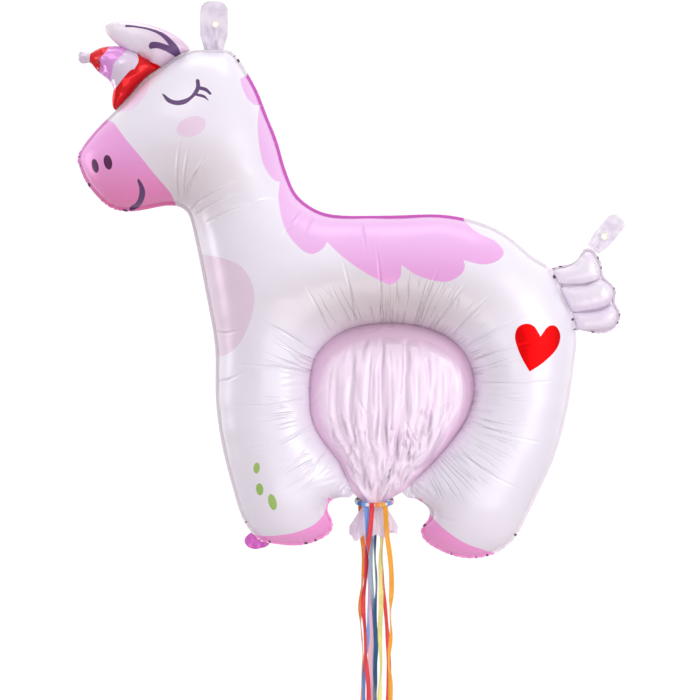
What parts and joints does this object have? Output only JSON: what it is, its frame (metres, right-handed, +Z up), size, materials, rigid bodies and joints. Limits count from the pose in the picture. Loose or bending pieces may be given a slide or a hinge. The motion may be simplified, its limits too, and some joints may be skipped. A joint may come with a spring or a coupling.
{
  "type": "foil balloon pinata",
  "caption": "Inflated foil pull-string pinata in the shape of a small horned horse, with a film candy pouch, a release ring with pull ribbons, and two hanging tabs.",
  "frame": {"origin": "centre of the punched hole in the head's hanging tab", "axes": "+Z up, +X towards the tail, +Y through the hole to the back; the seam lies in the plane Y = 0"},
  "size_m": [0.9037, 0.2146, 1.1984],
  "materials": {
    "foil": "satin",
    "horn_foil": "satin",
    "tab_film": "satin",
    "pouch_film": "gloss",
    "ring_plastic": "gloss",
    "ribbon_gold_left": "satin",
    "ribbon_red_left": "satin",
    "ribbon_pale_pink": "satin",
    "ribbon_blue_left": "satin",
    "ribbon_pale_blue": "satin",
    "ribbon_dark_blue": "satin",
    "ribbon_yellow": "satin",
    "ribbon_red_right": "satin",
    "ribbon_orange_right": "satin"
  },
  "bodies": {
    "balloon": {"body_seam": "foil", "body_front_film": "foil", "body_back_film": "foil", "ear_seam": "foil", "ear_front_film": "foil", "ear_back_film": "foil", "tail_seam": "foil", "tail_front_film": "foil", "tail_back_film": "foil", "horn_seam": "horn_foil", "horn_front_film": "horn_foil", "horn_back_film": "horn_foil", "inflation_neck": "tab_film", "inflation_valve": "tab_film", "candy_pouch": "pouch_film", "pouch_skirt": "pouch_film"},
    "head_tab": {"head_hang_tab": "tab_film"},
    "tail_tab": {"tail_hang_tab": "tab_film"},
    "pull_ring": {"release_ring": "ring_plastic", "ribbon_loops": "ribbon_gold_left", "ribbon_gold_left": "ribbon_gold_left", "ribbon_red_left": "ribbon_red_left", "ribbon_pale_pink": "ribbon_pale_pink", "ribbon_blue_left": "ribbon_blue_left", "ribbon_pale_blue": "ribbon_pale_blue", "ribbon_dark_blue": "ribbon_dark_blue", "ribbon_yellow": "ribbon_yellow", "ribbon_red_right": "ribbon_red_right", "ribbon_orange_right": "ribbon_orange_right"}
  },
  "joints": [
    {"name": "ring_slide", "type": "slide", "parent": "balloon", "child": "pull_ring", "axis": [0, 0, -1], "range_m": [0, 0.075], "deforming": ["pouch_skirt"]},
    {"name": "head_tab_flex", "type": "hinge", "parent": "balloon", "child": "head_tab", "pos_m": [-0.0025, 0, -0.042], "axis": [1, 0, 0], "range_deg": [-70, 70], "stiffness_Nm_per_rad": 0.01},
    {"name": "tail_tab_flex", "type": "hinge", "parent": "balloon", "child": "tail_tab", "pos_m": [0.6234, 0, -0.371], "axis": [0.7593, 0, -0.6508], "range_deg": [-70, 70], "stiffness_Nm_per_rad": 0.01}
  ]
}
